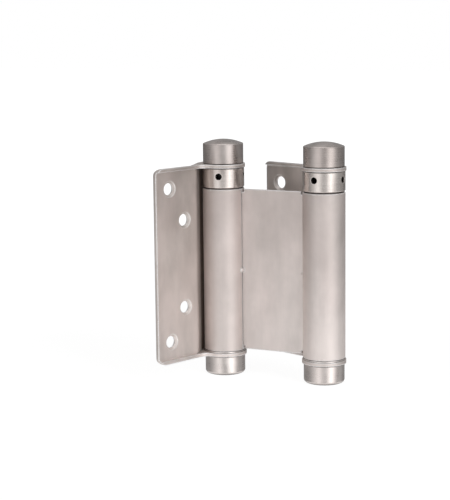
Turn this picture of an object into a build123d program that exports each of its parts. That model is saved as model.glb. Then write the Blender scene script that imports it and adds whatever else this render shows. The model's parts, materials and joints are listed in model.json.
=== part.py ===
from build123d import *
import os
from math import acos, atan2, cos, degrees, hypot, radians, sin

# A double-action spring hinge for a swing door.
# One sheet forms the web and is rolled into a barrel at each side. A pressed leaf turns about each
# barrel, and a torsion spring in each barrel closes its leaf. The hinge stands on its bottom caps.
# Lengths are in millimetres and angles in degrees. +Z is up, the floor is at z = 0, and the origin
# lies midway between the two barrel axes. The barrels' seams and the leaves' countersinks face -Y
# when the hinge is closed, except that each leaf's countersinks always face the web.

# Overall layout
axis_distance = 42.0
leaf_height = 75.0
leaf_reach = 33.3
left_leaf_open_angle = 107.6
right_leaf_open_angle = 20.3

# Pressed leaf
leaf_sheet = 1.4
leaf_offset = 3.1
leaf_bend_radius = 0.6
leaf_corner_radius = 2.8
lip_width = 1.25
ear_radius = 8.45
ear_flare_radius = 4.0
ear_back_radius = 0.6
root_start = 12.0
root_clearance = 0.9
root_bend_radius = 1.2
root_end_angle = -92.0
root_relief = 0.12
bend_relief = 1.0

# Screw holes of a leaf, an outer pair and an inner pair
outer_hole_inset = 7.1
outer_hole_spacing = 58.8
inner_hole_inset = 14.9
inner_hole_spacing = 33.8
screw_hole_radius = 2.3
countersink_radius = 3.05
countersink_depth = 0.75

# Centre body, the web and the two rolled barrels
body_sheet = 1.2
barrel_radius = 8.1
barrel_edge_break = 0.25
seam_gap = 0.3
seam_lead_radius = 0.9
web_back_radius = 0.8
web_top_trim = 0.2
web_bottom_trim = 0.6
notch_width = 1.0
notch_depth = 1.2
weld_radius = 0.9
weld_stand_off = 0.3

# Gaps between the pieces that are stacked on a barrel's axis
washer_play = 0.05
collar_play = 0.1
barrel_gap = 0.4

# Tension collar
collar_height = 7.6
collar_edge_break = 0.3
collar_hub_length = 4.5
hub_clearance = 0.3
bar_hole_radius = 1.3
bar_hole_depth = 4.0
bar_hole_drop = 3.05
bar_hole_count = 4
left_collar_angle = -77.5
right_collar_angle = -95.5

# Washers
barrel_washer_thickness = 0.5
thrust_washer_thickness = 0.7
thrust_washer_radius = 6.0

# Spindle, its shoulder and its nut
spindle_radius = 2.5
spindle_shoulder_radius = 4.5
spindle_shoulder_height = 1.5
spindle_end_chamfer = 0.4
nut_width = 8.0
nut_height = 3.5

# Caps
cap_radius = 7.8
cap_wall = 1.0
cap_rim_chamfer = 0.35
cap_boss_radius = 4.2
cap_thread_length = 3.0
cap_thread_end_gap = 0.4
bottom_cap_height = 7.5
bottom_cap_edge_radius = 1.3
bottom_cap_floor = 1.2
top_cap_side = 7.7
top_cap_dome = 1.7
top_cap_shoulder_radius = 0.4
top_cap_crown = 0.9

# Torsion spring and its anchor
spring_wire = 2.4
spring_coil_gap = 0.35
spring_steps_per_turn = 20
spring_clearance = 0.5
spring_end_gap = 0.6
tang_length = 3.0
tang_clearance = 0.15
anchor_height = 6.0
bush_wall = 1.1

# How far a cutter reaches past what it cuts
beyond = 1.0

# Fits
running_clearance = 0.05
press_clearance = 0.02
thread_clearance = 0.02

# Levels along a barrel's axis, from the floor up
leaf_low = bottom_cap_height
lower_ear_top = leaf_low + leaf_sheet
barrel_low = lower_ear_top + barrel_washer_thickness + 2 * washer_play
leaf_high = leaf_low + leaf_height
upper_ear_low = leaf_high - leaf_sheet
collar_top = upper_ear_low - collar_play
collar_low = collar_top - collar_height
barrel_high = collar_low - barrel_gap
anchor_top = barrel_low + anchor_height
hub_low = collar_low - collar_hub_length
thrust_washer_low = upper_ear_low - thrust_washer_thickness
spindle_bottom = leaf_low - spindle_shoulder_height - cap_thread_length - cap_thread_end_gap
spindle_top = leaf_high + nut_height + cap_thread_length + cap_thread_end_gap

# Radii that follow from the sizes above
barrel_bore = barrel_radius - body_sheet
bush_bore = spindle_radius + running_clearance
bush_radius = bush_bore + bush_wall
cap_bore = cap_radius - cap_wall
spring_mean_radius = barrel_bore - spring_clearance - spring_wire / 2


def turned(profile):
    """A solid of revolution about Z, from a face drawn in the XZ plane."""
    return revolve(profile, Axis.Z)


def turned_outline(points):
    """A turned solid from the corners of its half section, as (radius, height)."""
    return turned(make_face(Plane.XZ * Polyline(*points, close=True)))


def tube(outer, inner, low, high):
    """A plain ring or tube between two levels."""
    return Pos(0, 0, low) * extrude(Circle(outer) - Circle(inner), high - low)


def rod(radius, low, high):
    """A plain round rod between two levels."""
    return Pos(0, 0, low) * extrude(Circle(radius), high - low)


def rims(solid, radius, level):
    """The circular edges of one radius at one level."""
    circles = solid.edges().filter_by(GeomType.CIRCLE)
    near = 0.01
    return circles.filter_by(lambda e: abs(e.radius - radius) < near and abs(e.center().Z - level) < near)


def block(x_range, y_range, z_range):
    """A block between two values on each axis."""
    ranges = (x_range, y_range, z_range)
    sizes = [high - low for low, high in ranges]
    centre = [(high + low) / 2 for low, high in ranges]
    return Pos(*centre) * Box(*sizes)


# Centre body


def rolled_section():
    """The section of the left barrel and its half of the web, about the left axis."""
    half = body_sheet / 2
    web_end = axis_distance / 2
    section = Circle(barrel_radius) - Circle(barrel_bore)
    section += Pos((barrel_bore + web_end) / 2, 0) * Rectangle(web_end - barrel_bore, body_sheet)
    slit_length = 2 * body_sheet
    slit = Pos(barrel_radius - half, -half - seam_gap / 2) * Rectangle(slit_length, seam_gap)
    section -= slit + lead_corner()
    back = section.vertices().sort_by_distance((barrel_radius, half, 0))[0]
    return fillet(back, web_back_radius)


def lead_corner():
    """The cutter that rounds the bend where the web runs into the barrel's bore."""
    middle_y = seam_lead_radius - body_sheet / 2
    middle_x = ((barrel_bore + seam_lead_radius) ** 2 - middle_y ** 2) ** 0.5
    touch_y = middle_y * barrel_bore / (barrel_bore + seam_lead_radius)
    low_y = -body_sheet / 2
    corner = Pos(middle_x - seam_lead_radius, (touch_y + low_y) / 2)
    corner = corner * Rectangle(2 * seam_lead_radius, touch_y - low_y)
    return corner - Pos(middle_x, middle_y) * Circle(seam_lead_radius)


def barrel_half():
    """The left barrel with its half of the web, in place."""
    height = barrel_high - barrel_low
    half = Pos(0, 0, barrel_low) * extrude(rolled_section(), height)
    web_low = barrel_low + web_bottom_trim
    web_high = barrel_high - web_top_trim
    web_side = (-2 * body_sheet, 2 * body_sheet)
    notch_end = barrel_radius + notch_width
    trim = block((0, axis_distance), web_side, (barrel_low - beyond, web_low))
    trim += block((0, notch_end), web_side, (barrel_low - beyond, web_low + notch_depth))
    trim += block((0, axis_distance), web_side, (web_high, barrel_high + beyond))
    trim += block((0, notch_end), web_side, (web_high - notch_depth, barrel_high + beyond))
    half -= trim - rod(barrel_radius, barrel_low - 2 * beyond, barrel_high + 2 * beyond)
    weld_y = -body_sheet / 2 - weld_stand_off
    weld = Pos(barrel_radius, weld_y, 0) * Sphere(weld_radius) - rod(barrel_bore, -beyond - weld_radius, beyond + weld_radius)
    half += Pos(0, 0, (barrel_low + barrel_high) / 2) * weld
    half -= broken_edge(barrel_low, 1)
    half -= broken_edge(barrel_high, -1)
    return Pos(-axis_distance / 2, 0, 0) * half


def broken_edge(level, up):
    """The cutter of a small chamfer round one end of a barrel."""
    reach = 2 * barrel_edge_break
    corner = barrel_radius + barrel_edge_break
    return turned_outline([
        (barrel_radius - reach, level - up * barrel_edge_break),
        (corner, level - up * barrel_edge_break),
        (corner, level + up * reach),
    ])


def centre_body():
    half = barrel_half()
    return half + mirror(half, about=Plane.YZ)


# Pressed leaf, drawn closed, about its own axis: the plate runs along +X on the -Y side of the axis


def leaf_channel():
    """The plate with its two lips, bent at the top and the bottom and rounded at the outer corners."""
    far = -(leaf_offset + leaf_sheet)
    near = -(leaf_offset - lip_width)
    middle = (leaf_low + leaf_high) / 2
    length = leaf_reach - root_start - bend_relief
    outer = Pos((far + near) / 2, middle) * Rectangle(near - far, leaf_height)
    outer = fillet(outer.vertices().group_by(Axis.X)[0], leaf_bend_radius + leaf_sheet)
    inside = Pos((near - leaf_offset) / 2, middle) * Rectangle(lip_width, leaf_height - 2 * leaf_sheet)
    inside = fillet(inside.vertices().group_by(Axis.X)[0], leaf_bend_radius)
    profile = Plane.YZ.offset(root_start + bend_relief) * (outer - inside)
    channel = extrude(profile, length)
    plate_outline = Pos(root_start + bend_relief + length / 2, middle) * Rectangle(length, leaf_height)
    plate_outline = fillet(plate_outline.vertices().group_by(Axis.X)[-1], leaf_corner_radius)
    trimmer = extrude(Plane.XZ * plate_outline, leaf_offset + leaf_sheet + beyond)
    return channel & trimmer


def root_line():
    """The line midway in the sheet along which the root is bent back and curved round the barrel."""
    middle = -(leaf_offset + leaf_sheet / 2)
    wrap_radius = barrel_radius + root_clearance + leaf_sheet / 2
    bend = (root_start, middle)
    touch = atan2(middle, root_start) - acos(wrap_radius / hypot(*bend))
    touch_point = (wrap_radius * cos(touch), wrap_radius * sin(touch))
    flat_start = (root_start + bend_relief, middle)
    lead = FilletPolyline(flat_start, bend, touch_point, radius=root_bend_radius + leaf_sheet / 2)
    wrap = CenterArc((0, 0), wrap_radius, degrees(touch), root_end_angle - degrees(touch))
    return [lead, wrap]


def ear_outline():
    """The outline of an ear: a ring round the axis that flares into the lip and reaches under the root."""
    far = -(leaf_offset + leaf_sheet)
    near = -(leaf_offset - lip_width)
    neck_end = root_start + bend_relief
    outline = Circle(ear_radius) + Pos(neck_end / 2, (far + near) / 2) * Rectangle(neck_end, near - far)
    lead, wrap = root_line()
    under_root = make_face([lead, wrap, Polyline(wrap @ 1, (0, 0), lead @ 0)])
    outline += under_root + trace([lead, wrap], leaf_sheet)
    near_corner = ((ear_radius ** 2 - near ** 2) ** 0.5, near, 0)
    outline = fillet(outline.vertices().sort_by_distance(near_corner)[0], ear_flare_radius)
    root_outside = barrel_radius + root_clearance + leaf_sheet
    end = radians(root_end_angle)
    outer_corner = (root_outside * cos(end), root_outside * sin(end), 0)
    inner_corner = (ear_radius * cos(end), ear_radius * sin(end), 0)
    outline = fillet(outline.vertices().sort_by_distance(outer_corner)[0], ear_back_radius)
    return fillet(outline.vertices().sort_by_distance(inner_corner)[0], ear_back_radius)


def leaf_root():
    """The plate's inner edge, bent back and curved round the outside of the barrel."""
    low = lower_ear_top + root_relief
    high = upper_ear_low - root_relief
    return Pos(0, 0, low) * extrude(trace(root_line(), leaf_sheet), high - low)


def screw_hole(inset, level):
    """The cutter of one countersunk hole, sunk from the face that looks at the web."""
    seat = Plane(origin=(leaf_reach - inset, -leaf_offset, level), z_dir=(0, -1, 0))
    through = seat * Pos(0, 0, leaf_sheet / 2) * Cylinder(screw_hole_radius, 2 * leaf_sheet)
    sink = Cone(countersink_radius, screw_hole_radius, countersink_depth)
    return through + seat * Pos(0, 0, countersink_depth / 2) * sink


def leaf():
    body = leaf_channel() + leaf_root()
    ear = ear_outline() - Circle(spindle_radius + press_clearance)
    body += Pos(0, 0, leaf_low) * extrude(ear, leaf_sheet)
    body += Pos(0, 0, upper_ear_low) * extrude(ear, leaf_sheet)
    middle = (leaf_low + leaf_high) / 2
    for inset, spacing in ((outer_hole_inset, outer_hole_spacing), (inner_hole_inset, inner_hole_spacing)):
        for level in (middle - spacing / 2, middle + spacing / 2):
            body -= screw_hole(inset, level)
    return body


# Pieces on a barrel's axis, drawn about Z


def spindle():
    shaft = turned_outline([
        (0, spindle_bottom),
        (spindle_radius, spindle_bottom),
        (spindle_radius, leaf_low - spindle_shoulder_height),
        (spindle_shoulder_radius, leaf_low - spindle_shoulder_height),
        (spindle_shoulder_radius, leaf_low),
        (spindle_radius, leaf_low),
        (spindle_radius, spindle_top),
        (0, spindle_top),
    ])
    ends = rims(shaft, spindle_radius, spindle_bottom) + rims(shaft, spindle_radius, spindle_top)
    return chamfer(ends, spindle_end_chamfer)


def spindle_nut():
    blank = RegularPolygon(nut_width / 2, 6, major_radius=False)
    bore = Circle(spindle_radius + thread_clearance)
    return Pos(0, 0, leaf_high) * extrude(blank - bore, nut_height)


def top_cap():
    """A domed cup with a threaded boss inside that takes the spindle's upper end."""
    rim = leaf_high
    side_top = rim + top_cap_side
    crown_low = side_top - top_cap_crown
    thread = spindle_radius + thread_clearance
    boss_low = leaf_high + nut_height + cap_thread_end_gap
    dome_radius = (cap_radius ** 2 + top_cap_dome ** 2) / (2 * top_cap_dome)
    dome_middle = cap_radius / 2
    dome_height = side_top + top_cap_dome - dome_radius + (dome_radius ** 2 - dome_middle ** 2) ** 0.5
    top = (0, side_top + top_cap_dome)
    outline = [
        ThreePointArc((cap_radius, side_top), (dome_middle, dome_height), top),
        Polyline(
            top,
            (0, spindle_top + cap_thread_end_gap),
            (thread, spindle_top + cap_thread_end_gap),
            (thread, boss_low),
            (cap_boss_radius, boss_low),
            (cap_boss_radius, crown_low),
            (cap_bore, crown_low),
            (cap_bore, rim),
            (cap_radius, rim),
            (cap_radius, side_top),
        ),
    ]
    cap = turned(make_face([Plane.XZ * line for line in outline]))
    cap = chamfer(rims(cap, cap_radius, rim), cap_rim_chamfer)
    return fillet(rims(cap, cap_radius, side_top), top_cap_shoulder_radius)


def bottom_cap():
    """A cup with a rounded lower edge and the same threaded boss, turned upside down."""
    rim = leaf_low
    thread = spindle_radius + thread_clearance
    boss_high = leaf_low - spindle_shoulder_height - cap_thread_end_gap
    cap = turned_outline([
        (0, 0),
        (cap_radius, 0),
        (cap_radius, rim),
        (cap_bore, rim),
        (cap_bore, bottom_cap_floor),
        (cap_boss_radius, bottom_cap_floor),
        (cap_boss_radius, boss_high),
        (thread, boss_high),
        (thread, spindle_bottom - cap_thread_end_gap),
        (0, spindle_bottom - cap_thread_end_gap),
    ])
    cap = chamfer(rims(cap, cap_radius, rim), cap_rim_chamfer)
    return fillet(rims(cap, cap_radius, 0), bottom_cap_edge_radius)


def tang_slot(level):
    """The cutter of the slot that holds a bent end of the spring."""
    width = spring_wire + 2 * tang_clearance
    depth = 2 * (tang_length - spring_end_gap + tang_clearance)
    return Pos(spring_mean_radius, 0, level) * Box(width, width, depth)


def tension_collar():
    """The collar that winds the spring, with radial holes for a tommy bar and a hub in the barrel."""
    bore = bush_radius + press_clearance
    hub_radius = barrel_bore - hub_clearance
    recess = thrust_washer_radius + running_clearance
    collar = turned_outline([
        (bore, hub_low),
        (hub_radius, hub_low),
        (hub_radius, collar_low),
        (barrel_radius, collar_low),
        (barrel_radius, collar_top),
        (recess, collar_top),
        (recess, thrust_washer_low),
        (bore, thrust_washer_low),
    ])
    broken = rims(collar, barrel_radius, collar_low) + rims(collar, barrel_radius, collar_top)
    collar = chamfer(broken, collar_edge_break)
    level = collar_top - bar_hole_drop
    cutter = Pos(barrel_radius, 0, level) * Rot(0, 90, 0) * Cylinder(bar_hole_radius, 2 * bar_hole_depth)
    for index in range(bar_hole_count):
        collar -= Rot(0, 0, index * 360 / bar_hole_count) * cutter
    between_holes = 180 / bar_hole_count
    return collar - Rot(0, 0, between_holes) * tang_slot(hub_low)


def spring_anchor():
    """The plug fixed in the barrel's lower end, with a slot for the spring's lower end."""
    anchor = tube(barrel_bore - press_clearance, bush_radius + press_clearance, barrel_low, anchor_top)
    return anchor - Rot(0, 0, 180 / bar_hole_count) * tang_slot(anchor_top)


def coil_corners(angle, level):
    """The four corners of the spring's wire where the coil has reached an angle and a level."""
    half = spring_wire / 2
    corners = []
    for out, rise in ((-half, -half), (half, -half), (half, half), (-half, half)):
        reach = spring_mean_radius + out
        corners.append(Vector(reach * cos(angle), reach * sin(angle), level + rise))
    return corners


def coil(first, last):
    """The spring's coil in short straight steps, in as many whole turns as its height holds."""
    turns = int((last - first) / (spring_wire + spring_coil_gap))
    steps = turns * spring_steps_per_turn
    rings = []
    for step in range(steps + 1):
        angle = radians(360 * step / spring_steps_per_turn)
        rings.append(coil_corners(angle, first + (last - first) * step / steps))
    faces = [flat_face(rings[0]), flat_face(rings[-1])]
    for here, there in zip(rings, rings[1:]):
        for side in range(4):
            a, b = here[side], here[side - 1]
            c, d = there[side - 1], there[side]
            faces += [flat_face([a, b, c]), flat_face([a, c, d])]
    return Solid(Shell(faces))


def flat_face(corners):
    return Face(Wire.make_polygon(corners))


def spring():
    """A close torsion spring of square wire, with an end bent into the anchor and one into the hub."""
    half = spring_wire / 2
    first = anchor_top + spring_end_gap + half
    last = hub_low - spring_end_gap - half
    wire = Part() + coil(first, last)
    across = (spring_mean_radius - half, spring_mean_radius + half)
    wire += block(across, (-half, half), (first - half - tang_length, first + half))
    wire += block(across, (-half, half), (last - half, last + half + tang_length))
    return Rot(0, 0, 180 / bar_hole_count) * wire


def axis_pieces():
    """The pieces on one axis that are fixed to the leaf or the barrel, by name."""
    return {
        "spindle": spindle(),
        "spindle_nut": spindle_nut(),
        "top_cap": top_cap(),
        "bottom_cap": bottom_cap(),
        "barrel_washer": tube(
            barrel_radius, bush_bore, lower_ear_top + washer_play, barrel_low - washer_play
        ),
        "thrust_washer": tube(thrust_washer_radius, bush_bore, thrust_washer_low, upper_ear_low),
        "anchor_bush": tube(bush_radius, bush_bore, barrel_low, anchor_top),
        "collar_bush": tube(bush_radius, bush_bore, hub_low, thrust_washer_low),
    }


def wound_pieces():
    """The pieces on one axis that are turned with the tension collar's holes, by name."""
    return {
        "tension_collar": tension_collar(),
        "spring_anchor": spring_anchor(),
        "torsion_spring": spring(),
    }


os.makedirs("parts", exist_ok=True)
export_step(centre_body(), "parts/centre_body.step")

pressed_leaf = leaf()
on_axis = axis_pieces()
wound = wound_pieces()
sides = (
    ("left", -axis_distance / 2, -left_leaf_open_angle, left_collar_angle),
    ("right", axis_distance / 2, 180 - right_leaf_open_angle, right_collar_angle),
)
for side, axis_x, leaf_angle, collar_angle in sides:
    place = Pos(axis_x, 0, 0)
    export_step(place * Rot(0, 0, leaf_angle) * pressed_leaf, f"parts/{side}_leaf.step")
    for name, piece in on_axis.items():
        export_step(place * piece, f"parts/{side}_{name}.step")
    for name, piece in wound.items():
        export_step(place * Rot(0, 0, collar_angle) * piece, f"parts/{side}_{name}.step")
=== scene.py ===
# %% [markdown]
# # A double-action spring hinge in satin steel
# The hinge stands upright on its two bottom caps. One sheet forms the web and is rolled into a
# barrel at each side, and a pressed leaf turns about each barrel. The solids come from a CAD
# model, which is loaded here as a fixed frame. This lesson places the camera, sets up the studio,
# gives each solid its real finish, and winds the springs. All lengths are in metres.

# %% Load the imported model
import json
import math

import bpy
from mathutils import Matrix, Vector

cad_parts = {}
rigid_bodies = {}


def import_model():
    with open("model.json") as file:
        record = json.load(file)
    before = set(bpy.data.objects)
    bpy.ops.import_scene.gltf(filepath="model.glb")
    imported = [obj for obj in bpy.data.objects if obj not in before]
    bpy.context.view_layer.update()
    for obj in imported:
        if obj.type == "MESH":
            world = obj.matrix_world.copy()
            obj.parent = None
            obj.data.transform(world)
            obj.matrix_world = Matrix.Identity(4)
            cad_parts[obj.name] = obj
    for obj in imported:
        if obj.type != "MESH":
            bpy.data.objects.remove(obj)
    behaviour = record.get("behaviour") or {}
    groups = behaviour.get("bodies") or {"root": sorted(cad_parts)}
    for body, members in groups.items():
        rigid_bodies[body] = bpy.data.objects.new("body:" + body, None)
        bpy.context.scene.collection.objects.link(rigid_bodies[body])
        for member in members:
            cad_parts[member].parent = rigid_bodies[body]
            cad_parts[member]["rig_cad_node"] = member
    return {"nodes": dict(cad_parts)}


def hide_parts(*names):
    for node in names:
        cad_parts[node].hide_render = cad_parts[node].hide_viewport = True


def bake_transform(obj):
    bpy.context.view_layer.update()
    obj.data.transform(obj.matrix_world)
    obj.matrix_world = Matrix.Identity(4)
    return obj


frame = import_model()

for thing in list(bpy.data.objects):
    if thing.type in ("MESH", "LIGHT", "CAMERA") and "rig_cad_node" not in thing:
        bpy.data.objects.remove(thing)
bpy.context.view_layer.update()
nodes = frame["nodes"]
MM = 0.001

# %% [markdown]
# ## The camera
# The photograph was taken with a long lens from a little above the hinge, with the right barrel
# nearer. The place and the three angles below were solved from the edges of the barrels, caps
# and leaves, so the picture needs no lens shift. A camera looks along its own -Z axis, so the
# view is built from a yaw, a pitch and a small roll. The Standard view transform shows each tone
# as it comes out of the render, so that white paper stays white.

# %% Place the camera
PICTURE_WIDTH = 450
SENSOR_WIDTH = 36.0
FOCAL_PIXELS = 1509.3
NEAREST_SEEN = 0.01
CAMERA_PLACE = Vector((235.33, -522.53, 138.65)) * MM
YAW = math.radians(26.10)
PITCH = math.radians(8.81)
ROLL = math.radians(-0.66)

camera = bpy.data.objects.new("photo_camera", bpy.data.cameras.new("photo_camera"))
bpy.context.scene.collection.objects.link(camera)
camera.data.sensor_fit = "HORIZONTAL"
camera.data.sensor_width = SENSOR_WIDTH
camera.data.lens = FOCAL_PIXELS * SENSOR_WIDTH / PICTURE_WIDTH
camera.data.clip_start = NEAREST_SEEN
level_right = Vector((math.cos(YAW), math.sin(YAW), 0.0))
level_forward = Vector((-math.sin(YAW), math.cos(YAW), 0.0))
forward = level_forward * math.cos(PITCH) - Vector((0.0, 0.0, math.sin(PITCH)))
level_up = level_right.cross(forward)
right = level_right * math.cos(ROLL) + level_up * math.sin(ROLL)
up = level_up * math.cos(ROLL) - level_right * math.sin(ROLL)
turn = Matrix((right, up, -forward)).transposed().to_4x4()
camera.matrix_world = Matrix.Translation(CAMERA_PLACE) @ turn
bpy.context.scene.camera = camera
scene = bpy.context.scene
scene.view_settings.view_transform = "Standard"
print("the lens is", round(camera.data.lens, 1), "mm long")

# %% [markdown]
# ## Small helpers for node trees
# A node made in a script takes three or four lines: make it, set its options, set or link its
# inputs. This lesson makes several hundred of them, so one helper does all three, and a few short
# ones on top of it do the sums. Each of those returns an output socket, so that one sum can be
# written inside another, as in plain arithmetic.

# %% A helper that adds a node to a tree


def add(tree, kind, inputs=None, **settings):
    """Adds a node, sets its properties, and sets or links its inputs by name or number."""
    node = tree.nodes.new(kind)
    for name, value in settings.items():
        setattr(node, name, value)
    for key, value in (inputs or {}).items():
        if isinstance(value, bpy.types.NodeSocket):
            tree.links.new(value, node.inputs[key])
        else:
            node.inputs[key].default_value = value
    return node


# %% Sums on numbers and on vectors


def maths(tree, operation, *values, clamp=False):
    """A sum on numbers, as its output socket. clamp holds the result between 0 and 1."""
    inputs = dict(enumerate(values))
    return add(tree, "ShaderNodeMath", inputs, operation=operation, use_clamp=clamp).outputs[0]


def vector_maths(tree, operation, *values):
    """A sum on vectors, as its output socket: a number for a length or a dot product."""
    node = add(tree, "ShaderNodeVectorMath", dict(enumerate(values)), operation=operation)
    return node.outputs["Value" if operation in ("LENGTH", "DOT_PRODUCT") else "Vector"]


def moved_range(tree, value, low, high, new_low=0.0, new_high=1.0):
    """A number taken from low..high to new_low..new_high, and held between those two."""
    return add(tree, "ShaderNodeMapRange", {
        "Value": value, "From Min": low, "From Max": high, "To Min": new_low, "To Max": new_high,
    }).outputs["Result"]


def split(tree, vector):
    """The X, Y and Z of a vector, as three output sockets."""
    return tuple(add(tree, "ShaderNodeSeparateXYZ", {0: vector}).outputs)


def joined(tree, x, y, z):
    """A vector from three numbers or sockets."""
    return add(tree, "ShaderNodeCombineXYZ", {0: x, 1: y, 2: z}).outputs[0]


# %% [markdown]
# ## The tent
# A product picture like this is taken in a white tent. Metal has hardly any colour of its own: it
# shows what stands round it. In plain white, a barrel looks flat, so a photographer leaves some
# panels of the tent bright and others grey. Cards on stands would do the same, but they would
# also shade the hinge and show in other views. Here the panels are part of the world instead: two
# ramps, one by compass direction and one by height, say how bright each direction is for a
# mirrored ray. A third ramp fades the panels out towards the floor and the ceiling, where they
# would meet in a point.
#
# Light Path tells the rays apart. A ray from the camera, or one that passes through glass, sees
# plain white. The light that the world throws on the hinge is weaker, so that no pale surface
# clips.

# %% The tones of the tent's panels
WORLD_LIGHT = 0.45
BRIGHTEST_PANEL = 2.1
PANELS = (
    (-180, 0.28), (-120, 0.24), (-100, 0.25), (-80, 0.30), (-62, 0.38), (-48, 0.56), (-34, 0.78),
    (-20, 1.06), (-8, 1.26), (4, 1.00), (14, 0.68), (26, 0.60), (36, 0.76), (48, 1.50), (60, 2.05),
    (72, 1.65), (84, 1.00), (96, 0.52), (110, 0.38), (135, 0.34), (155, 0.24), (180, 0.28),
)
BRIGHTEST_LEVEL = 2.0
LEVELS = (
    (-1.0, 0.9), (-0.4, 1.25), (-0.22, 1.28), (-0.09, 0.84), (0.02, 0.94), (0.2, 0.80),
    (0.75, 0.72), (0.95, 1.7), (1.0, 1.7),
)
EVENNESS = (
    (-1.0, 1.0), (-0.7, 1.0), (-0.3, 0.0), (0.05, 0.0), (0.25, 0.25), (0.6, 0.4), (0.95, 1.0),
    (1.0, 1.0),
)
print("tones round the compass:", len(PANELS), "and from floor to ceiling:", len(LEVELS))

# %% A ramp of grey tones


def tone_ramp(tree, value, stops, low, high, full=1.0):
    """A grey for a value from low to high. stops holds (value, tone); full is the ramp's white."""
    ramp = add(tree, "ShaderNodeValToRGB", {"Fac": moved_range(tree, value, low, high)})
    ramp.color_ramp.interpolation = "EASE"
    while len(ramp.color_ramp.elements) < len(stops):
        ramp.color_ramp.elements.new(0.5)
    for stop, (place, tone) in zip(ramp.color_ramp.elements, stops):
        stop.position = (place - low) / (high - low)
        stop.color = (tone / full,) * 3 + (1.0,)
    return ramp.outputs["Color"]


# %% The tent, as the world
world = bpy.data.worlds.new("white_tent")
scene.world = world
world.use_nodes = True
tree = world.node_tree
tree.nodes.clear()
east, north, height = split(tree, add(tree, "ShaderNodeTexCoord").outputs["Generated"])
azimuth = maths(tree, "ARCTAN2", east, maths(tree, "MULTIPLY", north, -1.0))
upright = tone_ramp(tree, maths(tree, "DEGREES", azimuth), PANELS, -180.0, 180.0, BRIGHTEST_PANEL)
level = tone_ramp(tree, height, LEVELS, -1.0, 1.0, BRIGHTEST_LEVEL)
evenness = tone_ramp(tree, height, EVENNESS, -1.0, 1.0)
panelled = add(tree, "ShaderNodeMix", {
    0: evenness, 2: upright, 3: 1.0 / BRIGHTEST_PANEL,
}, data_type="FLOAT").outputs[0]
scaled = maths(tree, "MULTIPLY", panelled, level)
mirrored = maths(tree, "MULTIPLY", scaled, BRIGHTEST_PANEL * BRIGHTEST_LEVEL)
path = add(tree, "ShaderNodeLightPath").outputs
lighting = moved_range(tree, path["Is Glossy Ray"], 0.0, 1.0, WORLD_LIGHT, mirrored)
seen = maths(tree, "MAXIMUM", path["Is Camera Ray"], path["Is Transmission Ray"])
strength = moved_range(tree, seen, 0.0, 1.0, lighting, 1.0)
white = add(tree, "ShaderNodeBackground", {"Color": (1.0, 1.0, 1.0, 1.0), "Strength": strength})
add(tree, "ShaderNodeOutputWorld", {"Surface": white.outputs[0]})
print("the tent's world has", len(tree.nodes), "nodes")

# %% [markdown]
# ## The floor
# The real floor is a sheet of white paper that runs up out of the picture. A matt sheet alone
# turns grey far from the lamps. So for the camera most of its tone is a glow, and all of it in
# the distance, while near the hinge the matt part keeps the soft shadow. Mirrored rays pass
# through it to the tent, which has its own tones below the horizon.

# %% The white floor
FLOOR_SIZE = 6.0
NEAR_FLOOR, FAR_FLOOR = 0.12, 0.5
NEAR_GLOW, FAR_GLOW = 0.84, 1.0
PAPER_TONE = 0.86
GLOW_STRENGTH = 1.10
half = FLOOR_SIZE / 2
corners = [(-half, -half, 0), (half, -half, 0), (half, half, 0), (-half, half, 0)]
floor_mesh = bpy.data.meshes.new("floor")
floor_mesh.from_pydata(corners, [], [(0, 1, 2, 3)])
floor = bpy.data.objects.new("floor", floor_mesh)
scene.collection.objects.link(floor)
print("the floor is", FLOOR_SIZE, "m wide")

# %% The paper of the floor
paper = bpy.data.materials.new("white_paper")
paper.use_nodes = True
tree = paper.node_tree
tree.nodes.clear()
matt = add(tree, "ShaderNodeBsdfDiffuse", {"Color": (PAPER_TONE, PAPER_TONE, PAPER_TONE, 1.0)})
glow = add(tree, "ShaderNodeEmission", {"Color": (1.0, 1.0, 1.0, 1.0), "Strength": GLOW_STRENGTH})
away = vector_maths(tree, "LENGTH", add(tree, "ShaderNodeTexCoord").outputs["Object"])
glowing = moved_range(tree, away, NEAR_FLOOR, FAR_FLOOR, NEAR_GLOW, FAR_GLOW)
path = add(tree, "ShaderNodeLightPath").outputs
share = maths(tree, "MULTIPLY", path["Is Camera Ray"], glowing)
lit = add(tree, "ShaderNodeMixShader", {0: share, 1: matt.outputs[0], 2: glow.outputs[0]})
clear = add(tree, "ShaderNodeBsdfTransparent")
both = add(tree, "ShaderNodeMixShader", {
    0: path["Is Glossy Ray"], 1: lit.outputs[0], 2: clear.outputs[0],
})
add(tree, "ShaderNodeOutputMaterial", {"Surface": both.outputs[0]})
floor_mesh.materials.append(paper)
print("the paper's material has", len(tree.nodes), "nodes")

# %% [markdown]
# ## The lamps
# A tall soft lamp at the right of the camera and a weaker one near the camera give the hinge its
# soft shadow and its light and dark sides. A lamp that showed in the metal as a hard white strip
# would be wrong here, because the picture has only the soft bands of the tent. So both lamps are
# hidden from mirrored rays.

# %% The soft lamps
AIM = Vector((0.0, 0.0, 0.045))


def compass(azimuth, elevation, distance):
    """A place round the hinge: azimuth 0 is in front of it and 90 is to its right."""
    a = math.radians(azimuth)
    e = math.radians(elevation)
    towards = Vector((math.sin(a) * math.cos(e), -math.cos(a) * math.cos(e), math.sin(e)))
    return AIM + towards * distance


def soft_lamp(name, azimuth, elevation, distance, width, height, watts):
    """A soft box that faces the hinge and isn't seen in its metal."""
    lamp = bpy.data.lights.new(name, "AREA")
    lamp.shape = "RECTANGLE"
    lamp.size = width
    lamp.size_y = height
    lamp.energy = watts
    holder = bpy.data.objects.new(name, lamp)
    scene.collection.objects.link(holder)
    place = compass(azimuth, elevation, distance)
    facing = (AIM - place).to_track_quat("-Z", "Y").to_matrix().to_4x4()
    holder.matrix_world = Matrix.Translation(place) @ facing
    holder.visible_glossy = False
    print(name, "shines with", watts, "W from", distance, "m away")


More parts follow.
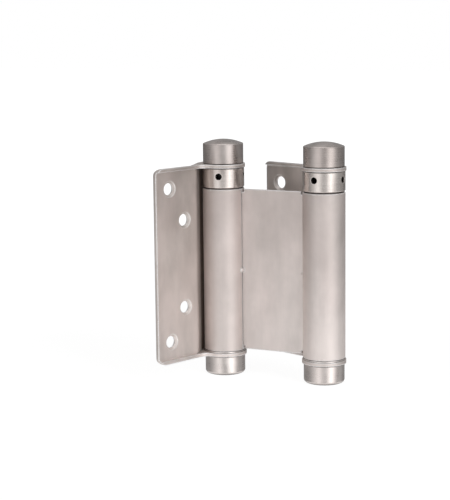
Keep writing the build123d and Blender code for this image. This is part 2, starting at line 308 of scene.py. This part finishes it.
soft_lamp("key_lamp", azimuth=66, elevation=26, distance=1.1, width=0.45, height=0.9, watts=6.0)
soft_lamp("fill_lamp", azimuth=-25, elevation=25, distance=1.3, width=0.9, height=0.9, watts=2.5)

# %% [markdown]
# ## Satin metal
# The real finish is a thin satin plate over steel. Its fine lines run along the sheet where it was
# rolled and round the axis where it was turned, and larger cloudy patches change its tone a
# little. Painted shade darkens the parts towards their tops, edges are painted brighter, partly as
# wear and partly as a painted highlight, and seams are painted darker, partly as grime and partly
# as painted shade. An image texture would need an unwrapped mesh, so each effect is a group of
# nodes on Object coordinates instead. It is built once, with named inputs, and used with its own
# values in every material.

# %% Helpers for the groups


def new_group(name, inputs, outputs, kind="ShaderNodeTree"):
    """A node group with named sockets. inputs holds (name, type, default)."""
    group = bpy.data.node_groups.new(name, kind)
    for label, socket_type, default in inputs:
        socket = group.interface.new_socket(name=label, in_out="INPUT", socket_type=socket_type)
        if default is not None:
            socket.default_value = default
    for label, socket_type in outputs:
        group.interface.new_socket(name=label, in_out="OUTPUT", socket_type=socket_type)
    given = group.nodes.new("NodeGroupInput").outputs
    result = group.nodes.new("NodeGroupOutput").inputs
    return group, given, result


def on_object(tree):
    """The place on the piece, in metres, as an output socket."""
    return add(tree, "ShaderNodeTexCoord").outputs["Object"]


def noise(tree, place, scale=1.0, detail=2.0, roughness=0.5):
    """Soft noise at a place, as its output socket."""
    return add(tree, "ShaderNodeTexNoise", {
        "Vector": place, "Scale": scale, "Detail": detail, "Roughness": roughness,
    }).outputs["Fac"]


# %% [markdown]
# ## Lines from rolling, turning and drawing
# Sheet is rolled and brushed one way, so its lines are straight. A turned part has rings. Drawn
# wire has lines that follow it. All three are the same noise, squeezed one way: the place on the
# piece is divided by the width of a line in one direction and by its length in the other. The
# rings need the distance from the axis, and the wire carries its own distances as two attributes,
# which the spring's rule stores further down.

# %% Straight brushing, along the height
brushing, given, result = new_group(
    "straight_brushing",
    [("Grain width", "NodeSocketFloat", 0.0004), ("Grain length", "NodeSocketFloat", 0.012)],
    [("Grain", "NodeSocketFloat")],
)
across = maths(brushing, "DIVIDE", 1.0, given["Grain width"])
along = maths(brushing, "DIVIDE", 1.0, given["Grain length"])
stretch = joined(brushing, across, across, along)
grain_place = vector_maths(brushing, "MULTIPLY", on_object(brushing), stretch)
brushing.links.new(noise(brushing, grain_place, detail=3.0, roughness=0.6), result["Grain"])
print(brushing.name, "has", len(brushing.nodes), "nodes")

# %% Turning lines, round an upright axis
CHANGES_PER_METRE = 60.0
turning, given, result = new_group(
    "turning_lines",
    [("Centre", "NodeSocketVector", (0.0, 0.0, 0.0)), ("Line width", "NodeSocketFloat", 0.0003)],
    [("Grain", "NodeSocketFloat")],
)
x, y, z = split(turning, vector_maths(turning, "SUBTRACT", on_object(turning), given["Centre"]))
radius = vector_maths(turning, "LENGTH", joined(turning, x, y, 0.0))
fine = maths(turning, "DIVIDE", 1.0, given["Line width"])
line_place = joined(
    turning,
    maths(turning, "MULTIPLY", radius, fine),
    maths(turning, "MULTIPLY", z, fine),
    maths(turning, "MULTIPLY", x, CHANGES_PER_METRE),
)
turning.links.new(noise(turning, line_place, roughness=0.6), result["Grain"])
print(turning.name, "has", len(turning.nodes), "nodes")

# %% Drawing lines, along a wire
drawing, given, result = new_group(
    "drawing_lines",
    [("Line width", "NodeSocketFloat", 0.00015), ("Line length", "NodeSocketFloat", 0.02)],
    [("Grain", "NodeSocketFloat")],
)
across_wire = add(drawing, "ShaderNodeAttribute", attribute_name="across_wire").outputs["Vector"]
along_wire = add(drawing, "ShaderNodeAttribute", attribute_name="along_wire").outputs["Fac"]
fine = maths(drawing, "DIVIDE", 1.0, given["Line width"])
ring = add(drawing, "ShaderNodeVectorMath", {0: across_wire, "Scale": fine}, operation="SCALE")
run = joined(drawing, 0.0, 0.0, maths(drawing, "DIVIDE", along_wire, given["Line length"]))
line_place = vector_maths(drawing, "ADD", ring.outputs[0], run)
drawing.links.new(noise(drawing, line_place, roughness=0.6), result["Grain"])
print(drawing.name, "has", len(drawing.nodes), "nodes")

# %% [markdown]
# ## Patches and painted shade at the top
# Plating is never quite even, and a hinge is picked up many times before its picture is taken.
# Large soft noise gives the patches, and a second noise of other places gives them a warmer tint
# here and there. Painted shade darkens each part towards its top, as the picture shows, so it
# follows the height, and noise breaks up its border.

# %% Cloudy patches left by plating and handling
TINT_AWAY = (7.3, 2.1, 4.7)
patches, given, result = new_group(
    "cloudy_patches",
    [
        ("Patch size", "NodeSocketFloat", 0.012),
        ("Stretch", "NodeSocketFloat", 2.5),
        ("Shift", "NodeSocketVector", (0.0, 0.0, 0.0)),
    ],
    [("Cloud", "NodeSocketFloat"), ("Tint", "NodeSocketFloat")],
)
moved = vector_maths(patches, "ADD", on_object(patches), given["Shift"])
wide = maths(patches, "DIVIDE", 1.0, given["Patch size"])
tall = maths(patches, "DIVIDE", wide, given["Stretch"])
cloud_place = vector_maths(patches, "MULTIPLY", moved, joined(patches, wide, wide, tall))
tint_place = vector_maths(patches, "ADD", cloud_place, TINT_AWAY)
patches.links.new(noise(patches, cloud_place, detail=4.0, roughness=0.55), result["Cloud"])
patches.links.new(noise(patches, tint_place, scale=0.7), result["Tint"])
print(patches.name, "has", len(patches.nodes), "nodes")

# %% Painted shade, heavier towards the top
BORDER_NOISE_PER_METRE = 90.0
top_shade, given, result = new_group(
    "painted_shade_at_top",
    [
        ("Low", "NodeSocketFloat", 0.015),
        ("High", "NodeSocketFloat", 0.085),
        ("Break-up", "NodeSocketFloat", 0.9),
        ("Shift", "NodeSocketVector", (0.0, 0.0, 0.0)),
    ],
    [("Top shade", "NodeSocketFloat")],
)
place = on_object(top_shade)
# the painted shade grows from Low to High, because the top of a part gets less light than its foot
rise = moved_range(top_shade, split(top_shade, place)[2], given["Low"], given["High"])
moved = vector_maths(top_shade, "ADD", place, given["Shift"])
border_noise = noise(top_shade, moved, scale=BORDER_NOISE_PER_METRE, detail=5.0, roughness=0.6)
uneven = maths(top_shade, "SUBTRACT", border_noise, 0.5)
spread = maths(top_shade, "MULTIPLY_ADD", uneven, given["Break-up"], rise, clamp=True)
top_shade.links.new(spread, result["Top shade"])
print(top_shade.name, "has", len(top_shade.nodes), "nodes")

# %% [markdown]
# ## Edges, corners and shaded hollows
# An edge is where a rounded normal, from the Bevel node, differs from the plain one. A corner is
# where little of the sky is seen within a short distance, which Ambient Occlusion measures. Both
# follow the shape by themselves: edges are painted lighter, partly as wear and partly as a painted
# highlight, and corners darker, partly as grime and partly as painted shade. The hollows that lie
# in shade lie inside a radius about a barrel's axis, so three soft steps pick them out for painted
# shade: near the axis, above a low level and below a high one.

# %% Rubbed edges, painted lighter: partly wear, partly a painted highlight
EDGE_STARTS, EDGE_IS_FULL = 0.995, 0.90
NICKS_PER_METRE = 700.0
NICK_RANGE = (0.3, 0.7)
rubbed_and_highlit, given, result = new_group(
    "rubbed_edges_and_highlight",
    [("Reach", "NodeSocketFloat", 0.0004), ("Patchiness", "NodeSocketFloat", 0.4)],
    [("Edge", "NodeSocketFloat")],
)
soft = add(rubbed_and_highlit, "ShaderNodeBevel", {"Radius": given["Reach"]}, samples=6).outputs[0]
plain = add(rubbed_and_highlit, "ShaderNodeNewGeometry").outputs["Normal"]
turned_by = vector_maths(rubbed_and_highlit, "DOT_PRODUCT", soft, plain)
edge = moved_range(rubbed_and_highlit, turned_by, EDGE_STARTS, EDGE_IS_FULL)
nicks = noise(rubbed_and_highlit, on_object(rubbed_and_highlit), scale=NICKS_PER_METRE, detail=3.0)
worn = moved_range(rubbed_and_highlit, nicks, *NICK_RANGE)
kept = maths(rubbed_and_highlit, "SUBTRACT", 1.0, given["Patchiness"])
amount = moved_range(rubbed_and_highlit, worn, 0.0, 1.0, kept, 1.0)
rubbed_and_highlit.links.new(maths(rubbed_and_highlit, "MULTIPLY", edge, amount), result["Edge"])
print(rubbed_and_highlit.name, "has", len(rubbed_and_highlit.nodes), "nodes")

# %% Grime and painted shade in the seams and corners
grime_and_shade, given, result = new_group(
    "grime_and_corner_shade",
    [
        ("Reach", "NodeSocketFloat", 0.0012),
        ("Start", "NodeSocketFloat", 0.62),
        ("Full", "NodeSocketFloat", 0.15),
    ],
    [("Grime and shade", "NodeSocketFloat")],
)
# where Ambient Occlusion finds a corner, the metal is painted darker: partly grime, partly painted
# shade
open_sky = add(grime_and_shade, "ShaderNodeAmbientOcclusion", {"Distance": given["Reach"]}, samples=8)
shut_in = moved_range(grime_and_shade, open_sky.outputs["AO"], given["Start"], given["Full"])
grime_and_shade.links.new(shut_in, result["Grime and shade"])
print(grime_and_shade.name, "has", len(grime_and_shade.nodes), "nodes")

# %% Painted shade in hollows, near an axis and between two levels


def soft_step(tree, high, low, blend):
    """0 where high is below low and 1 where it is above, with a soft change between them."""
    apart = maths(tree, "DIVIDE", maths(tree, "SUBTRACT", high, low), blend)
    return maths(tree, "ADD", apart, 0.5, clamp=True)


shade_group_for_hollows, given, result = new_group(
    "painted_shade_in_hollows",
    [
        ("Centre", "NodeSocketVector", (0.0, 0.0, 0.0)),
        ("Radius", "NodeSocketFloat", 0.0093),
        ("Low", "NodeSocketFloat", 0.0089),
        ("High", "NodeSocketFloat", 0.0811),
        ("Blend", "NodeSocketFloat", 0.0003),
    ],
    [("Hollow shade", "NodeSocketFloat")],
)
from_axis = vector_maths(shade_group_for_hollows, "SUBTRACT", on_object(shade_group_for_hollows), given["Centre"])
flat = vector_maths(shade_group_for_hollows, "MULTIPLY", from_axis, (1.0, 1.0, 0.0))
radius = vector_maths(shade_group_for_hollows, "LENGTH", flat)
level = split(shade_group_for_hollows, from_axis)[2]
near = soft_step(shade_group_for_hollows, given["Radius"], radius, given["Blend"])
above = soft_step(shade_group_for_hollows, level, given["Low"], given["Blend"])
below = soft_step(shade_group_for_hollows, given["High"], level, given["Blend"])
between = maths(shade_group_for_hollows, "MULTIPLY", above, below)
shade_group_for_hollows.links.new(maths(shade_group_for_hollows, "MULTIPLY", near, between), result["Hollow shade"])
print(shade_group_for_hollows.name, "has", len(shade_group_for_hollows.nodes), "nodes")

# %% [markdown]
# ## One recipe for all the metal
# Every metal part is built by one recipe: a dark and a light tone mixed by the cloudy patches,
# painted shade towards the top, lines, rubbed edges that are lighter and smoother, where the
# lighter tone is partly wear and partly a painted highlight, corners painted darker, partly as
# grime and partly as painted shade, a roughness that follows the lines, and a very shallow bump.
# The parts differ in their tones, in how rough they are, and in the lines that they have. The
# recipe is in steps, so that each stays short: the marks on the metal, its tone, how rough it is,
# and the whole. Noise lies mostly between two values near its middle, so each noise has a range,
# which is stretched before it is used.

# %% Colours, and a helper that mixes two


def rgb(red, green, blue):
    """A colour written with values of 0 to 255, as a picture has them, made linear."""
    def linear(c):
        c = c / 255
        return c / 12.92 if c <= 0.04045 else ((c + 0.055) / 1.055) ** 2.4
    return (linear(red), linear(green), linear(blue), 1.0)


def mix_colours(tree, factor, first, second, blend="MIX"):
    """The first colour with the second laid over it, as an output socket."""
    inputs = {0: factor, 6: first, 7: second}
    return add(tree, "ShaderNodeMix", inputs, data_type="RGBA", blend_type=blend).outputs[2]


print("a grey of 128 is", round(rgb(128, 128, 128)[0], 3), "when made linear")

# %% The marks on the metal
CLOUD_RANGE = (0.38, 0.62)


def marks_on(tree, grain_lines, grain_values, patch, shift, edge_reach):
    """The masks of the groups that every metal has, as output sockets by name."""
    used = (
        (patches, {"Patch size": patch, "Shift": shift}),
        (grain_lines, grain_values),
        (rubbed_and_highlit, {"Reach": edge_reach}),
        (grime_and_shade, {}),
        (top_shade, {"Shift": shift}),
    )
    marks = {}
    for group, values in used:
        for socket in add(tree, "ShaderNodeGroup", values, node_tree=group).outputs:
            marks[socket.name] = socket
    marks["Cloud"] = moved_range(tree, marks["Cloud"], *CLOUD_RANGE)
    return marks


# %% The tone of the metal
TINT_RANGE, GRAIN_RANGE = (0.35, 0.65), (0.25, 0.75)
WARMEST = 0.3
WARM_SHIFT = (1.03, 0.96, 0.96)
# the colour of the painted shade towards the top
TOP_SHADE_COLOUR = rgb(96, 84, 76)
# the dark of grime and of painted shade in seams and corners
GRIME_AND_SHADE = rgb(58, 48, 42)


def tone_of(tree, marks, dark, light, top_shade_depth, streak, edge_highlight_gain):
    """The metal's colour, from its dark and light tones and the marks on it."""
    tone = mix_colours(tree, marks["Cloud"], dark, light)
    warm_light = tuple(part * change for part, change in zip(light, WARM_SHIFT)) + (1.0,)
    warm = moved_range(tree, marks["Tint"], *TINT_RANGE, 0.0, WARMEST)
    tone = mix_colours(tree, warm, tone, warm_light)
    # painted shade, heavier towards the top, darkens the tone
    tone = mix_colours(tree, maths(tree, "MULTIPLY", marks["Top shade"], top_shade_depth), tone, TOP_SHADE_COLOUR)
    line = moved_range(tree, marks["Grain"], *GRAIN_RANGE, 1 - streak, 1 + streak)
    lines = add(tree, "ShaderNodeCombineColor", {0: line, 1: line, 2: line}).outputs[0]
    tone = mix_colours(tree, 1.0, tone, lines, "MULTIPLY")
    # edges are painted lighter than the light tone: partly wear, partly a painted highlight
    edge_highlight = tuple(min(1.0, part * (1 + edge_highlight_gain)) for part in light[:3]) + (1.0,)
    tone = mix_colours(tree, marks["Edge"], tone, edge_highlight)
    # seams and corners are painted darker: partly grime, partly painted shade
    return mix_colours(tree, marks["Grime and shade"], tone, GRIME_AND_SHADE)


# %% How rough the metal is
ROUGHNESS_CHANGES = (("Cloud", 0.06), ("Edge", -0.08), ("Grime and shade", 0.25))


def roughness_of(tree, marks, rough, spread):
    """The metal's roughness, which its lines, patches, edges and grime change a little."""
    roughness = moved_range(tree, marks["Grain"], *GRAIN_RANGE, rough - spread, rough + spread)
    for mark, change in ROUGHNESS_CHANGES:
        roughness = maths(tree, "MULTIPLY_ADD", marks[mark], change, roughness)
    return roughness


# %% The whole recipe
# what full grime and corner shade add to the metallic value, and full painted shade in the hollows
# adds to that and to the roughness
GRIME_AND_SHADE_ON_METALLIC, HOLLOW_SHADE_ON_METALLIC, HOLLOW_SHADE_ON_ROUGHNESS = -0.6, -0.9, 0.3
GRAIN_DEPTH = 0.0002


def metal(name, dark, light, rough, grain_lines, grain_values, metallic=0.92, axis=None,
          streak=0.02, bump=0.02, shift=(0, 0, 0), patch=0.012, edge_highlight_gain=0.35, edge_reach=0.0004,
          rounding=0.00025, rough_spread=0.04, top_shade_depth=0.1, hollow_shade=None, shade_colour=None):
    """Steel or brass with a dark and a light tone, and the group of lines that its working left.

    streak and bump say how much the lines show in the tone and in the relief, patch and shift set
    the size and the place of the patches, and hollow_shade holds the mask's values for hollows that
    lie in shade, which take shade_colour as painted shade and are made duller.
    """
    material = bpy.data.materials.new(name)
    material.use_nodes = True
    tree = material.node_tree
    tree.nodes.clear()
    marks = marks_on(tree, grain_lines, grain_values, patch, shift, edge_reach)
    tone = tone_of(tree, marks, dark, light, top_shade_depth, streak, edge_highlight_gain)
    roughness = roughness_of(tree, marks, rough, rough_spread)
    metalness = maths(tree, "MULTIPLY_ADD", marks["Grime and shade"], GRIME_AND_SHADE_ON_METALLIC, metallic)
    # hollows that lie in shade get painted shade, and are made duller
    if hollow_shade:
        mask = add(tree, "ShaderNodeGroup", dict(hollow_shade, Centre=axis), node_tree=shade_group_for_hollows)
        shaded_hollow = mask.outputs["Hollow shade"]
        tone = mix_colours(tree, shaded_hollow, tone, shade_colour)
        metalness = maths(tree, "MULTIPLY_ADD", shaded_hollow, HOLLOW_SHADE_ON_METALLIC, metalness, clamp=True)
        roughness = maths(tree, "MULTIPLY_ADD", shaded_hollow, HOLLOW_SHADE_ON_ROUGHNESS, roughness, clamp=True)
    rounded = add(tree, "ShaderNodeBevel", {"Radius": rounding}, samples=4).outputs[0]
    relief = add(tree, "ShaderNodeBump", {
        "Strength": bump, "Distance": GRAIN_DEPTH, "Height": marks["Grain"], "Normal": rounded,
    })
    surface = add(tree, "ShaderNodeBsdfPrincipled", {
        "Base Color": tone, "Metallic": metalness, "Roughness": roughness,
        "Normal": relief.outputs[0],
    })
    add(tree, "ShaderNodeOutputMaterial", {"Surface": surface.outputs[0]})
    return material


def dress(node, material):
    """Gives a CAD solid its finish."""
    slots = nodes[node].data.materials
    for index in range(len(slots)):
        slots[index] = material


# %% [markdown]
# ## The finish of the sheets
# The centre sheet and the leaves are satin sheet with an upright grain. They scatter light more
# than the turned parts, so they are rougher and a little less metallic. Their sheared edges are
# rubbed and rounded more, and take a stronger painted highlight. The inside of a leaf's curved
# root lies in shade and is painted dark as painted shade, so each leaf has a material of its own,
# which knows the axis of its barrel. Shift moves the patches, so that the two leaves don't repeat
# each other.

# %% The centre sheet and the leaves
SIDES = (("left", (-0.021, 0.0, 0.0)), ("right", (0.021, 0.0, 0.0)))
ROLLING = {"Grain width": 0.0003, "Grain length": 0.02}
# the sheets' edges get a stronger painted highlight, reach further and are rounded more
SHEET_EDGE = {"edge_highlight_gain": 0.9, "edge_reach": 0.0008, "rounding": 0.0009}
UNDER_ROOT = {"Radius": 0.0094, "Low": 0.00895, "High": 0.08105}
# the painted shade inside a leaf's curved root, which lies in shade
ROOT_SHADE = rgb(132, 114, 102)
LEAF_SHIFT = {"left": (0.3, 0.1, 0.2), "right": (0.7, 0.4, 0.1)}
dress("centre_body", metal(
    "rolled_satin_sheet", rgb(210, 202, 198), rgb(233, 224, 220), 0.54, brushing, ROLLING,
    metallic=0.8, patch=0.016, streak=0.03, top_shade_depth=0.30, **SHEET_EDGE,
))
for side, axis in SIDES:
    dress(side + "_leaf", metal(
        side + "_leaf_satin", rgb(205, 197, 192), rgb(230, 221, 216), 0.46, brushing, ROLLING,
        metallic=0.8, axis=axis, shift=LEAF_SHIFT[side], top_shade_depth=0.25,
        hollow_shade=UNDER_ROOT, shade_colour=ROOT_SHADE, **SHEET_EDGE,
    ))
print("finished sheets:", ["centre_body"] + [side + "_leaf" for side, axis in SIDES])

# %% [markdown]
# ## The finish of the turned parts
# The caps are turned smooth, and the collars smoother still, so both show narrow bright bands.
# The bar holes in a collar lie in shade, and are painted nearly black inside as painted shade: the
# same mask that finds the inside of a leaf's root finds them, with a smaller radius. Rings are
# drawn about an axis, so each side has its own materials.

# %% Caps, collars and washers
CAP_SURFACE = {"bump": 0.012, "rough_spread": 0.03, "patch": 0.005}
IN_BAR_HOLES = {"Radius": 0.0076, "Low": 0.0763, "High": 0.0797}
# painted shade, nearly black, inside the bar holes
HOLE_SHADE = rgb(14, 12, 12)
for side, axis in SIDES:
    fine_turning = {"Centre": axis, "Line width": 0.0003}
    cap_turning = {"Centre": axis, "Line width": 0.0005}
    # the top caps are painted darker than the bottom caps and take more painted shade at the top:
    # one turned finish in a shaded and a lit copy
    dress(side + "_top_cap", metal(
        side + "_top_cap_shaded_satin", rgb(186, 178, 174), rgb(210, 202, 198), 0.27,
        turning, cap_turning, shift=(0.2, 0.5, 0.4), streak=0.06, top_shade_depth=0.2, **CAP_SURFACE,
    ))
    dress(side + "_bottom_cap", metal(
        side + "_bottom_cap_lit_satin", rgb(196, 189, 185), rgb(220, 213, 209), 0.27,
        turning, cap_turning, shift=(0.4, 0.3, 0.1), streak=0.05, **CAP_SURFACE,
    ))
    dress(side + "_tension_collar", metal(
        side + "_collar_satin", rgb(202, 193, 188), rgb(224, 217, 212), 0.16,
        turning, fine_turning, streak=0.04, patch=0.006,
        axis=axis, hollow_shade=IN_BAR_HOLES, shade_colour=HOLE_SHADE,
    ))
    washer = metal(
        side + "_washer_satin", rgb(196, 190, 187), rgb(214, 208, 205), 0.26, turning, fine_turning,
    )
    dress(side + "_barrel_washer", washer)
    dress(side + "_thrust_washer", washer)
    print(side, "caps, collar and washers are finished")

# %% [markdown]
# ## The finish of the hidden parts
# The spindles, nuts, anchors and bushes are hidden at rest, but an open or cut hinge shows them.
# They get what such parts are made of: plain turned steel, brass for the bearings, and drawn wire
# for the springs.

# %% Spindles, nuts, anchors, bushes and wire
DRAWING = {"Line width": 0.00015, "Line length": 0.02}
wire_finish = {}
for side, axis in SIDES:
    fine_turning = {"Centre": axis, "Line width": 0.0003}
    steel = metal(
        side + "_turned_steel", rgb(150, 150, 150), rgb(178, 178, 178), 0.30, turning, fine_turning,
    )
    for piece in ("spindle", "spindle_nut", "spring_anchor"):
        dress(f"{side}_{piece}", steel)
    brass = metal(
        side + "_turned_brass", rgb(196, 160, 96), rgb(222, 188, 120), 0.28, turning, fine_turning,
    )
    for piece in ("anchor_bush", "collar_bush"):
        dress(f"{side}_{piece}", brass)
    wire_finish[side] = metal(
        side + "_spring_wire", rgb(74, 76, 82), rgb(104, 106, 112), 0.32, drawing, DRAWING,
        streak=0.12, bump=0.06, patch=0.004,
    )
    dress(side + "_torsion_spring", wire_finish[side])
print("materials:", len(bpy.data.materials))

# %% [markdown]
# ## The torsion springs
# A close spring of round wire fills each barrel. Its lower end is bent down into the anchor plug
# and its upper end up into the tension collar, which winds it. The wire follows a rule: its
# distance along the coil sets both its angle and its level. Geometry Nodes are made for such a
# shape, because the turns, the wire and the ends stay inputs. A smooth maximum, in place of a
# plain one, rounds the bend between the coil and each straight end.

# %% The inputs of the spring's rule
winding, given, result = new_group(
    "wound_spring",
    [
        ("Centre", "NodeSocketVector", (0.0, 0.0, 0.0)),
        ("Start angle", "NodeSocketFloat", 0.0),
        ("Turns", "NodeSocketFloat", 18.0),
        ("Mean radius", "NodeSocketFloat", 0.0052),
        ("Wire radius", "NodeSocketFloat", 0.0012),
        ("First level", "NodeSocketFloat", 0.0173),
        ("Last level", "NodeSocketFloat", 0.0671),
        ("Straight end", "NodeSocketFloat", 0.0042),
        ("Bend", "NodeSocketFloat", 0.0024),
        ("Steps", "NodeSocketInt", 720),
        ("Sides", "NodeSocketInt", 12),
        ("Finish", "NodeSocketMaterial", None),
    ],
    [("Spring", "NodeSocketGeometry")],
    "GeometryNodeTree",
)
winding.is_modifier = True
print("the spring's rule has the inputs", [socket.name for socket in given if socket.name])

# %% [markdown]
# ## From a straight line to a coil
# A straight line is cut into steps, and each step's share of the line tells how far along the wire
# it is. Three parts follow from that distance: what lies before the coil, what lies on it, and
# what lies after it. The part on the coil gives the angle and the climb, and the other two move
# straight down and straight up.

# %% How far the wire has come, on each of its parts


def rule(operation, *values):
    """One sum of the spring's rule, as its output socket."""
    return maths(winding, operation, *values)


coil_length = rule("MULTIPLY", rule("MULTIPLY", given["Turns"], 2 * math.pi), given["Mean radius"])
whole_length = rule("ADD", coil_length, rule("MULTIPLY", given["Straight end"], 2.0))
along = add(winding, "GeometryNodeSplineParameter").outputs["Factor"]
travelled = rule("SUBTRACT", rule("MULTIPLY", along, whole_length), given["Straight end"])
to_go = rule("SUBTRACT", travelled, coil_length)
wound = rule("SMOOTH_MAX", travelled, 0.0, given["Bend"])
after = rule("SMOOTH_MAX", to_go, 0.0, given["Bend"])
before = rule("SMOOTH_MAX", rule("MULTIPLY", travelled, -1.0), 0.0, given["Bend"])
on_coil = rule("SUBTRACT", wound, after)
print("distances along the wire:", len(winding.nodes), "nodes so far")

# %% Where the wire is
angle = rule("ADD", rule("DIVIDE", on_coil, given["Mean radius"]), given["Start angle"])
climb = rule("SUBTRACT", given["Last level"], given["First level"])
coil_level = rule("MULTIPLY_ADD", rule("DIVIDE", on_coil, coil_length), climb, given["First level"])
wire_level = rule("ADD", rule("SUBTRACT", coil_level, before), after)
wire_x = rule("MULTIPLY", rule("COSINE", angle), given["Mean radius"])
wire_y = rule("MULTIPLY", rule("SINE", angle), given["Mean radius"])
on_axis = joined(winding, wire_x, wire_y, wire_level)
wire_place = vector_maths(winding, "ADD", on_axis, given["Centre"])
print("the wire's place:", len(winding.nodes), "nodes so far")

# %% [markdown]
# ## A round section along the coil
# The steps are moved to their places, and a circle is swept along them, with its ends filled, so
# the mesh is closed. Both the line and the circle first store where each point is. Those two
# attributes stay on the mesh, and the drawing lines of the wire's material read them.

# %% Sweep the wire
line = add(winding, "GeometryNodeCurvePrimitiveLine").outputs[0]
steps = add(winding, "GeometryNodeResampleCurve", {"Curve": line, "Count": given["Steps"]})
coil = add(winding, "GeometryNodeSetPosition", {
    "Geometry": steps.outputs[0], "Position": wire_place,
})
measured = add(winding, "GeometryNodeStoreNamedAttribute", {
    "Geometry": coil.outputs[0], "Name": "along_wire", "Value": travelled,
}, data_type="FLOAT", domain="POINT")
section = add(winding, "GeometryNodeCurvePrimitiveCircle", {
    "Resolution": given["Sides"], "Radius": given["Wire radius"],
})
round_place = add(winding, "GeometryNodeInputPosition").outputs[0]
marked = add(winding, "GeometryNodeStoreNamedAttribute", {
    "Geometry": section.outputs[0], "Name": "across_wire", "Value": round_place,
}, data_type="FLOAT_VECTOR", domain="POINT")
wire = add(winding, "GeometryNodeCurveToMesh", {
    "Curve": measured.outputs[0], "Profile Curve": marked.outputs[0], "Fill Caps": True,
})
smooth = add(winding, "GeometryNodeSetShadeSmooth", {"Geometry": wire.outputs[0]})
real = add(winding, "GeometryNodeRealizeInstances", {"Geometry": smooth.outputs[0]})
finished = add(winding, "GeometryNodeSetMaterial", {
    "Geometry": real.outputs[0], "Material": given["Finish"],
})
winding.links.new(finished.outputs[0], result["Spring"])
print("the spring's rule has", len(winding.nodes), "nodes")

# %% [markdown]
# ## Wind the two springs
# The rule is run once for each barrel, and what it makes becomes a plain piece. Each spring stands
# for the plain spring of the CAD model. It starts at the angle of its collar's slot.

# %% A helper that turns a rule into a plain piece


def from_tree(name, tree, values):
    """Runs a geometry tree with its own values, and returns the result as a plain piece."""
    maker = bpy.data.objects.new(name + "_maker", bpy.data.meshes.new(name + "_maker"))
    scene.collection.objects.link(maker)
    modifier = maker.modifiers.new("rule", "NODES")
    modifier.node_group = tree
    for item in tree.interface.items_tree:
        if item.in_out == "INPUT" and item.name in values:
            modifier[item.identifier] = values[item.name]
    graph = bpy.context.evaluated_depsgraph_get()
    mesh = bpy.data.meshes.new_from_object(maker.evaluated_get(graph), depsgraph=graph)
    maker.modifiers.remove(modifier)
    bpy.data.objects.remove(maker)
    mesh.name = name
    piece = bpy.data.objects.new(name, mesh)
    scene.collection.objects.link(piece)
    return piece


# %% Wind the springs
START_ANGLE = {"left": -32.5, "right": -50.5}
for side, axis in SIDES:
    spring = from_tree(side + "_wound_spring", winding, {
        "Centre": axis, "Start angle": math.radians(START_ANGLE[side]), "Finish": wire_finish[side],
    })
    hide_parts(side + "_torsion_spring")
    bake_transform(spring)
    print(spring.name, "has", len(spring.data.polygons), "faces")
